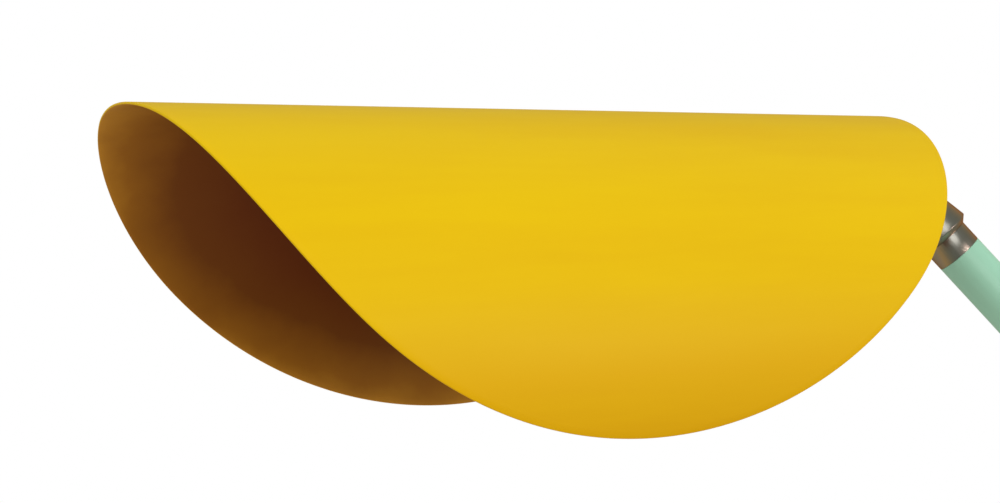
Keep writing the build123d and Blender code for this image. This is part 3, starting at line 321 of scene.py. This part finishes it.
# At a glance, steel this close to the hood mirrors warm yellow. The tint at grazing angles stands for that.
polished_steel.node_tree.nodes["Principled BSDF"].inputs["Specular Tint"].default_value = linear("#E8A24A")
cast_stainless = metal("stainless_cast_blasted", "#CFCDC7", 0.36, 0.48, 0.9, 0.06)
brushed_stainless = metal("stainless_brushed", "#D6D4CF", 0.28, 0.38, 0.7, 0.03, (1, 1, 0.04))
zinc_plate = metal("steel_zinc_plated", "#D2D5D7", 0.26, 0.36, 2.5, 0.02)

# %% [markdown]
# ## Rubber and PTFE
#
# Seals are EPDM rubber: black, matt, with a dusty bloom. The valve's seats and packing are PTFE, a waxy
# white plastic with a low IOR.

# %% Soft materials


def moulded(name, colour, bloom, roughness, ior):
    """A moulded seal material whose colour lightens in patches."""
    material, tree, shader, place = new_finish(name, Roughness=roughness, IOR=ior)
    patch = add_node(tree, "ShaderNodeTexNoise", {"Vector": place}, Scale=1 / (8 * MM), Detail=3)
    tint = ramp(tree, patch.outputs["Fac"], [(0.35, linear(colour)), (0.7, linear(bloom))])
    tree.links.new(tint, shader.inputs["Base Color"])
    grain = add_node(tree, "ShaderNodeTexNoise", {"Vector": place}, Scale=1 / (0.6 * MM))
    bump = add_node(
        tree, "ShaderNodeBump", {"Height": grain.outputs["Fac"]}, Strength=0.2, Distance=0.03 * MM
    )
    tree.links.new(bump.outputs["Normal"], shader.inputs["Normal"])
    return material


epdm_rubber = moulded("epdm_rubber", "#191919", "#2A2A29", 0.65, 1.5)
ptfe = moulded("ptfe_machined", "#E6E5DF", "#F0EFEA", 0.4, 1.36)

# %% Give every CAD node its finish
FINISHES = {
    "yellow_coat": signal_yellow,
    "mint_coat": mint_green,
    "polished_steel": polished_steel,
    "stainless": cast_stainless,
    "zinc": zinc_plate,
    "rubber": epdm_rubber,
    "ptfe": ptfe,
}
BRUSHED = ("lever_arm", "pull_rod", "rod_eye", "rose_plate", "valve_stem", "rod_pin")
for subpart in frame["record"]["subparts"]:
    node = frame["nodes"][subpart["node"]]
    finish = FINISHES[subpart["material_slot"]]
    if subpart["node"] in BRUSHED:
        finish = brushed_stainless
    node.data.materials.clear()
    node.data.materials.append(finish)

# %% [markdown]
# ## The hood
#
# The real hood starts as a flat disc, 530 mm across, and is rolled over formers: nearly flat at the crown, tighter
# at the shoulders, almost straight down the flanks. Bending sheet doesn't stretch it, so a point keeps its
# distance along the ridge and its arc length from it. We make the flat disc as a grid of quads, then bend each
# point by that rule. A Solidify modifier gives the sheet its thickness, and a Bevel rounds its cut edge. Solidify
# also gives the inside's painted shade material to the inner faces alone, by its material offset.

# %% Bend a disc into the hood
SHEET = 1.5 * MM
BENDS = ((35 * MM, 161 * MM), (155 * MM, 116.7 * MM), (75 * MM, 353 * MM))


def bent(arc):
    """How far out and down a point of the hood lies, by its arc length from the ridge."""
    out, down, lean, left = 0.0, 0.0, 0.0, abs(arc)
    for length, radius in BENDS:
        turn = min(left, length) / radius
        out += radius * (sin(lean + turn) - sin(lean))
        down += radius * (cos(lean) - cos(lean + turn))
        lean += turn
        left -= min(left, length)
    return (out if arc > 0 else -out), -down


def on_disc(u, v):
    """A point of the square from -1 to 1, moved onto the unit disc so that squares stay nearly square."""
    if u == 0 and v == 0:
        return 0.0, 0.0
    if abs(u) > abs(v):
        return u * cos(pi / 4 * v / u), u * sin(pi / 4 * v / u)
    return v * sin(pi / 4 * u / v), v * cos(pi / 4 * u / v)


GRID = 120
hood_mesh = bpy.data.meshes.new("hood_shell")
builder = bmesh.new()
rows = []
for i in range(GRID + 1):
    row = []
    for j in range(GRID + 1):
        x, arc = on_disc(2 * i / GRID - 1, 2 * j / GRID - 1)
        out, height = bent(arc * DISC_RADIUS)
        row.append(builder.verts.new(head_place @ Vector((x * DISC_RADIUS, out, height))))
    rows.append(row)
for i in range(GRID):
    for j in range(GRID):
        face = builder.faces.new((rows[i][j], rows[i + 1][j], rows[i + 1][j + 1], rows[i][j + 1]))
        face.smooth = True
builder.to_mesh(hood_mesh)
builder.free()

hood = bpy.data.objects.new("hood_shell", hood_mesh)
bpy.context.scene.collection.objects.link(hood)
thickness = hood.modifiers.new("sheet", "SOLIDIFY")
thickness.thickness = SHEET
thickness.offset = -1
thickness.use_even_offset = True
thickness.material_offset = 1
rounding = hood.modifiers.new("rounded_edge", "BEVEL")
rounding.width = 0.55 * MM
rounding.segments = 3
rounding.limit_method = "ANGLE"
rounding.angle_limit = radians(60)
hood.data.materials.append(signal_yellow)
hood.data.materials.append(inside_painted_shade)
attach(hood, "head")
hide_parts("hood")
print("hood faces:", len(hood_mesh.polygons))

# %% [markdown]
# ## Soft edges on machined parts
#
# No real edge is perfectly sharp. A bevel of a few tenths of a millimetre catches a thin line of light,
# and it is the cheapest way to make a CAD solid look made.

# %% Break the edges of the CAD solids
EDGE_BREAK = {
    "yellow_coat": 0.4,
    "mint_coat": 0.5,
    "polished_steel": 0.25,
    "stainless": 0.5,
    "zinc": 0.3,
}
ALREADY_CHAMFERED = ("wall_plate",)
for subpart in frame["record"]["subparts"]:
    node = frame["nodes"][subpart["node"]]
    width = EDGE_BREAK.get(subpart["material_slot"])
    if width is None or node.hide_render or subpart["node"] in ALREADY_CHAMFERED:
        continue
    weld = node.modifiers.new("weld", "WELD")
    weld.merge_threshold = 0.001 * MM
    edge_break = node.modifiers.new("edge_break", "BEVEL")
    edge_break.width = width * MM
    edge_break.segments = 2
    edge_break.limit_method = "ANGLE"
    edge_break.angle_limit = radians(40)
    edge_break.harden_normals = True

# %% [markdown]
# ## Helpers for small pieces
#
# Threads, welds and nozzles are rings and helices. One function closes a list of cross-sections into a
# surface, another finds each separate solid of a CAD node, so that a thread sits on the bolt that the
# engineering model placed, and a third hands the finished mesh to its body.

# %% Skin, find and add


def skin(builder, sections, closed):
    """Joins cross-sections of equal length with quads, and the last to the first if closed."""
    rings = [[builder.verts.new(point) for point in section] for section in sections]
    pairs = list(zip(rings, rings[1:]))
    if closed:
        pairs.append((rings[-1], rings[0]))
    for near, far in pairs:
        for k in range(len(near)):
            face = builder.faces.new((near[k], near[k - 1], far[k - 1], far[k]))
            face.smooth = True
    if not closed:
        builder.faces.new(rings[0])
        builder.faces.new(rings[-1][::-1])


def solids_of(name):
    """The lowest and highest corner of each separate solid in a CAD node."""
    builder = bmesh.new()
    builder.from_mesh(frame["nodes"][name].data)
    bmesh.ops.remove_doubles(builder, verts=builder.verts, dist=0.001 * MM)
    waiting = set(builder.verts)
    boxes = []
    while waiting:
        island = [waiting.pop()]
        for vert in island:
            for edge in vert.link_edges:
                other = edge.other_vert(vert)
                if other in waiting:
                    waiting.discard(other)
                    island.append(other)
        low = Vector([min(vert.co[axis] for vert in island) for axis in range(3)])
        high = Vector([max(vert.co[axis] for vert in island) for axis in range(3)])
        boxes.append((low, high))
    builder.free()
    return boxes


def add_piece(name, builder, finish, body):
    """Turns mesh work into a piece with one finish that rides on a body."""
    bmesh.ops.recalc_face_normals(builder, faces=builder.faces)
    mesh = bpy.data.meshes.new(name)
    builder.to_mesh(mesh)
    builder.free()
    mesh.materials.append(finish)
    piece = bpy.data.objects.new(name, mesh)
    bpy.context.scene.collection.objects.link(piece)
    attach(piece, body)
    print(name, len(mesh.polygons), "faces")
    return piece


# %% [markdown]
# ## Threads
#
# A thread is a ridge wound round a rod. The CAD rods are smooth, so we wind a low, narrow-topped ridge
# around them, which stands about a fifth of its pitch proud. Each ridge fades in and out over half a turn,
# as a cut thread does. The pull rod has a pitch of 1.25 mm and the one-inch pipe thread 2.3 mm. Only 2.9 mm
# of each valve bolt's tail shows, so its thread is drawn finer than life, at 0.9 mm, to fit two turns in.

# %% Wind a thread
TURN_STEPS = 28


def thread(builder, foot, way, length, radius, pitch):
    """A helical ridge round the axis that starts at foot and runs along way."""
    way = way.normalized()
    side = way.orthogonal().normalized()
    other = way.cross(side)
    turns = length / pitch - 1
    steps = int(turns * TURN_STEPS)
    sections = []
    for step in range(steps + 1):
        angle = tau * step / TURN_STEPS
        fade = min(1, step / (TURN_STEPS / 2), (steps - step) / (TURN_STEPS / 2))
        out = side * cos(angle) + other * sin(angle)
        middle = foot + way * pitch * (0.5 + step / TURN_STEPS)
        crest = radius + 0.22 * pitch * fade + 0.01 * MM
        sections.append(
            [
                middle - way * 0.44 * pitch + out * (radius - 0.12 * pitch),
                middle - way * 0.08 * pitch + out * crest,
                middle + way * 0.08 * pitch + out * crest,
                middle + way * 0.44 * pitch + out * (radius - 0.12 * pitch),
            ]
        )
    skin(builder, sections, closed=False)


UP = Vector((0, 0, 1))
DOWN = -UP
eye_nut, handle_nut = sorted(solids_of("rod_nuts"), key=lambda corners: -corners[0].z)
rod_low, rod_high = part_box("pull_rod")
rod_middle = (rod_low + rod_high) / 2
rod_radius = (rod_high.x - rod_low.x) / 2
ROD_THREAD = 26 * MM
ROD_PITCH = 1.25 * MM
rod_threads = bmesh.new()
for start, way in ((eye_nut[0].z, DOWN), (handle_nut[1].z, UP)):
    foot = Vector((rod_middle.x, rod_middle.y, start))
    thread(rod_threads, foot, way, ROD_THREAD, rod_radius, ROD_PITCH)
add_piece("rod_threads", rod_threads, brushed_stainless, "rod")

# %% Threads of the inlet pipe and the valve's bolts
PIPE_THREAD = 10 * MM
PIPE_PITCH = 2.3 * MM
pipe_threads = bmesh.new()
nipple_low, nipple_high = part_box("inlet_nipple")
riser = Vector(((nipple_low.x + nipple_high.x) / 2, (nipple_low.y + nipple_high.y) / 2, 0))
pipe_radius = (nipple_high.x - nipple_low.x) / 2
for start, way in ((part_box("inlet_socket")[1].z, UP), (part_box("valve_cap_lower")[0].z, DOWN)):
    thread(pipe_threads, riser + UP * start, way, PIPE_THREAD, pipe_radius, PIPE_PITCH)
add_piece("inlet_threads", pipe_threads, zinc_plate, "wall_frame")

BOLT_TAIL = 2.9 * MM
BOLT_RADIUS = 4 * MM
BOLT_PITCH = 0.9 * MM
SHORTEST_BOLT = 40 * MM
bolt_threads = bmesh.new()
for low, high in solids_of("valve_bolts"):
    if high.z - low.z > SHORTEST_BOLT:
        middle = (low + high) / 2
        foot = Vector((middle.x, middle.y, low.z))
        thread(bolt_threads, foot, UP, BOLT_TAIL, BOLT_RADIUS, BOLT_PITCH)
add_piece("valve_bolt_threads", bolt_threads, zinc_plate, "wall_frame")

# %% [markdown]
# ## Weld beads
#
# Each clamp stands on a post with a round foot, fillet welded to the wall plate. A weld bead is a small
# concave ring with the ripple of a stack of coins, because the welder's hand moves in steps.

# %% Weld the feet to the plate and the posts to their feet


def weld_bead(builder, centre, way, radius, size):
    """A rippled ring of weld metal in the corner between a round part and a flat one."""
    side = way.orthogonal().normalized()
    other = way.cross(side)
    steps = int(tau * radius / (0.9 * MM))
    ripples = round(tau * radius / (3.2 * MM))
    sections = []
    for step in range(steps):
        angle = tau * step / steps
        out = side * cos(angle) + other * sin(angle)
        swell = size * (1 + 0.10 * sin(ripples * angle) + 0.05 * sin(3 * angle + 1))
        corner = centre + out * radius
        sections.append(
            [
                corner - out * 0.3 * size - way * 0.2 * size,
                corner + out * swell - way * 0.2 * size,
                corner + out * 0.85 * swell + way * 0.16 * swell,
                corner + out * 0.5 * swell + way * 0.48 * swell,
                corner + out * 0.16 * swell + way * 0.86 * swell,
                corner - out * 0.3 * size + way * swell,
            ]
        )
    skin(builder, sections, closed=True)


beads = bmesh.new()
OUT_OF_WALL = Vector((-1, 0, 0))
FOOT_THICK = 5 * MM
POST_RADIUS = 10 * MM
FOOT_BEAD = 4.2 * MM
POST_BEAD = 3.6 * MM
for low, high in solids_of("clamp_standoffs"):
    middle = (low + high) / 2
    foot_radius = (high.z - low.z) / 2
    plate_face = Vector((high.x, middle.y, middle.z))
    weld_bead(beads, plate_face, OUT_OF_WALL, foot_radius, FOOT_BEAD)
    weld_bead(beads, plate_face + OUT_OF_WALL * FOOT_THICK, OUT_OF_WALL, POST_RADIUS, POST_BEAD)
add_piece("weld_beads", beads, mint_green, "wall_frame")

# %% [markdown]
# ## Grip on the pull handle
#
# The handle's lower bar wears a moulded rubber sleeve, so that wet hands hold it. It is turned from one
# profile: a lip at each end and shallow rings between, one for every 5 mm.

# %% Turn the grip sleeve
bar_low, bar_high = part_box("pull_handle")
BAR_RADIUS = 6 * MM
GRIP_HALF = 46 * MM
bar = Vector(((bar_low.x + bar_high.x) / 2, (bar_low.y + bar_high.y) / 2, bar_low.z + BAR_RADIUS))
RINGS = 18
profile = [(-1.0, 0.05), (-1.0, 1.9), (-0.985, 2.4), (-0.955, 2.4), (-0.945, 1.9)]
for ring in range(RINGS):
    middle = -0.92 + 1.84 * (ring + 0.5) / RINGS
    step = 0.92 / RINGS
    profile += [(middle - 0.8 * step, 1.35), (middle - 0.5 * step, 1.9), (middle + 0.5 * step, 1.9)]
    profile += [(middle + 0.8 * step, 1.35)]
profile += [(0.945, 1.9), (0.955, 2.4), (0.985, 2.4), (1.0, 1.9), (1.0, 0.05)]
grip = bmesh.new()
ROUND = 40
sections = []
for step in range(ROUND):
    angle = tau * step / ROUND
    out = Vector((cos(angle), 0, sin(angle)))
    sections.append(
        [bar + Vector((0, y * GRIP_HALF, 0)) + out * (BAR_RADIUS + wall * MM) for y, wall in profile]
    )
skin(grip, sections, closed=True)
add_piece("grip_sleeve", grip, epdm_rubber, "rod")

# %% [markdown]
# ## Nozzles of the rose
#
# The rose's steel face has ninety-one holes in rings of six, twelve, eighteen and so on. A soft rubber
# nozzle sits in each, so that scale from hard water can be rubbed off with a thumb.

# %% Fill the holes with nozzles
JET_RINGS = 5
JET_PITCH = 14.5 * MM
JET_HOLE = 1.8 * MM
NOZZLE = ((0.98, -1.0), (1.45, 0.02), (1.38, 0.3), (1.0, 0.75), (0.85, 1.25), (0.62, 1.25), (0.55, -1.0))
NOZZLE_SIDES = 14
plate_low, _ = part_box("rose_plate")
nozzles = bmesh.new()
jets = [(0, 0)]
for ring in range(1, JET_RINGS + 1):
    jets += [(ring * JET_PITCH, tau * k / (6 * ring)) for k in range(6 * ring)]
for reach, turn in jets:
    middle = Vector((ridge_middle.x, ridge_middle.y, plate_low.z))
    middle += along * reach * cos(turn) + across * reach * sin(turn)
    sections = []
    for step in range(NOZZLE_SIDES):
        angle = tau * step / NOZZLE_SIDES
        out = Vector((cos(angle), sin(angle), 0)) * JET_HOLE
        sections.append([middle + out * width - UP * drop * MM for width, drop in NOZZLE])
    skin(nozzles, sections, closed=True)
add_piece("rose_nozzles", nozzles, epdm_rubber, "head")

# %% [markdown]
# ## Floor, light and air
#
# The shower stands against plain white. Daylight comes from overhead, cool and very soft, and the ground
# gives back more than half of it, a little warmer. The floor is a wide pale disc well below the handle. It
# is kept out of the bounced light, because the lower half of the sky already stands for it.

# %% Stage
FLOOR_DROP = 2.7
FLOOR_RADIUS = 16
floor_middle = (ridge_middle.x, ridge_middle.y, cad_box[0][2] - FLOOR_DROP)
bpy.ops.mesh.primitive_circle_add(radius=FLOOR_RADIUS, vertices=128, fill_type="NGON", location=floor_middle)
floor = bpy.context.object
floor.name = "floor"
floor_paint, _, floor_shader, _ = new_finish("floor_paint", Roughness=0.9)
floor_shader.inputs["Base Color"].default_value = linear("#D9D9D6")
floor_shader.inputs["Emission Color"].default_value = linear("#F2F2F0")
floor_shader.inputs["Emission Strength"].default_value = 0.5
floor.data.materials.append(floor_paint)
floor.visible_diffuse = False
floor.visible_glossy = False

# %% [markdown]
# The surroundings are one sky with three answers. The camera sees white. Matt surfaces see a dome that
# fades from cool daylight overhead to a warm grey below. Glossy surfaces see a dimmer room, sand-coloured
# at the far side of the hood and slate on the near side, so that polished steel has something to mirror.

# %% Surroundings
world = bpy.data.worlds.new("white_surroundings")
bpy.context.scene.world = world
world.use_nodes = True
sky = world.node_tree
sky.nodes.clear()
heading = add_node(sky, "ShaderNodeTexCoord").outputs["Generated"]
compass = add_node(sky, "ShaderNodeSeparateXYZ", {"Vector": heading})
height = add_node(sky, "ShaderNodeMapRange", {"Value": compass.outputs["Z"]}, From_Min=-1, From_Max=1)
DOME = [
    (0.25, (0.62, 0.60, 0.57, 1)),
    (0.50, (0.74, 0.73, 0.71, 1)),
    (0.64, (0.84, 0.86, 0.85, 1)),
    (1.00, (0.92, 0.98, 1.0, 1)),
]
dome = ramp(sky, height.outputs["Result"], DOME)
facing = add_node(sky, "ShaderNodeVectorMath", operation="DOT_PRODUCT")
sky.links.new(heading, facing.inputs[0])
facing.inputs[1].default_value = across
far_side = add_node(sky, "ShaderNodeMapRange", {"Value": facing.outputs["Value"]}, From_Min=-1, From_Max=1)
ROOM = [
    (0.20, (0.12, 0.13, 0.11, 1)),
    (0.42, (0.20, 0.18, 0.12, 1)),
    (0.62, (0.44, 0.28, 0.11, 1)),
    (0.80, (0.30, 0.25, 0.18, 1)),
]
room = ramp(sky, far_side.outputs["Result"], ROOM)
seen = add_node(sky, "ShaderNodeBackground", Color=(1, 1, 1, 1), Strength=1.0)
felt = add_node(sky, "ShaderNodeBackground", {"Color": dome}, Strength=0.92)
mirrored = add_node(sky, "ShaderNodeBackground", {"Color": room}, Strength=1.0)
rays = add_node(sky, "ShaderNodeLightPath")
soft_mix = add_node(sky, "ShaderNodeMixShader", {"Fac": rays.outputs["Is Glossy Ray"]})
sky.links.new(felt.outputs[0], soft_mix.inputs[1])
sky.links.new(mirrored.outputs[0], soft_mix.inputs[2])
mix = add_node(sky, "ShaderNodeMixShader", {"Fac": rays.outputs["Is Camera Ray"]})
sky.links.new(soft_mix.outputs[0], mix.inputs[1])
sky.links.new(seen.outputs[0], mix.inputs[2])
add_node(sky, "ShaderNodeOutputWorld", {"Surface": mix.outputs[0]})
bpy.context.scene.view_settings.view_transform = "Standard"

# %% [markdown]
# Five lamps finish it. The key is a large soft light high in front, for form. The fill comes from low on
# the open end's side and reaches a little way under the hood, and a third lamp behind keeps the far side
# readable. Those three are left out of reflections. The last two are only there to be mirrored: the window
# draws the soft bright streak along the polished joint, and the strip lays a faint sheen on the flank.

# %% Lamps


def soft_light(name, place, size, power, colour="#FFFFFF", tall=None):
    """An area light, in watts, aimed at the middle of the hood. It is square unless tall is given."""
    data = bpy.data.lights.new(name, "AREA")
    data.size = size
    if tall:
        data.shape = "RECTANGLE"
        data.size_y = tall
    data.energy = power
    data.color = linear(colour)[:3]
    light = bpy.data.objects.new(name, data)
    bpy.context.scene.collection.objects.link(light)
    light.location = head_place @ Vector(place)
    middle = head_place @ Vector((0, 0, -90 * MM))
    light.rotation_euler = (middle - light.location).to_track_quat("-Z", "Y").to_euler()
    return light


key = soft_light("key", (0.9, -2.7, 0.8), 2.0, 24)
key.visible_glossy = False
fill = soft_light("fill", (-1.5, -2.5, -0.5), 1.6, 13)
fill.visible_glossy = False
back = soft_light("back", (-0.6, 2.8, 1.0), 2.0, 26)
back.visible_glossy = False
window = soft_light("window", (-0.9, -2.3, 0.9), 1.5, 10)
window.visible_diffuse = False
strip = soft_light("strip", (1.15, -2.05, -0.35), 0.8, 8, "#FFE2DA", 0.15)
strip.visible_diffuse = False
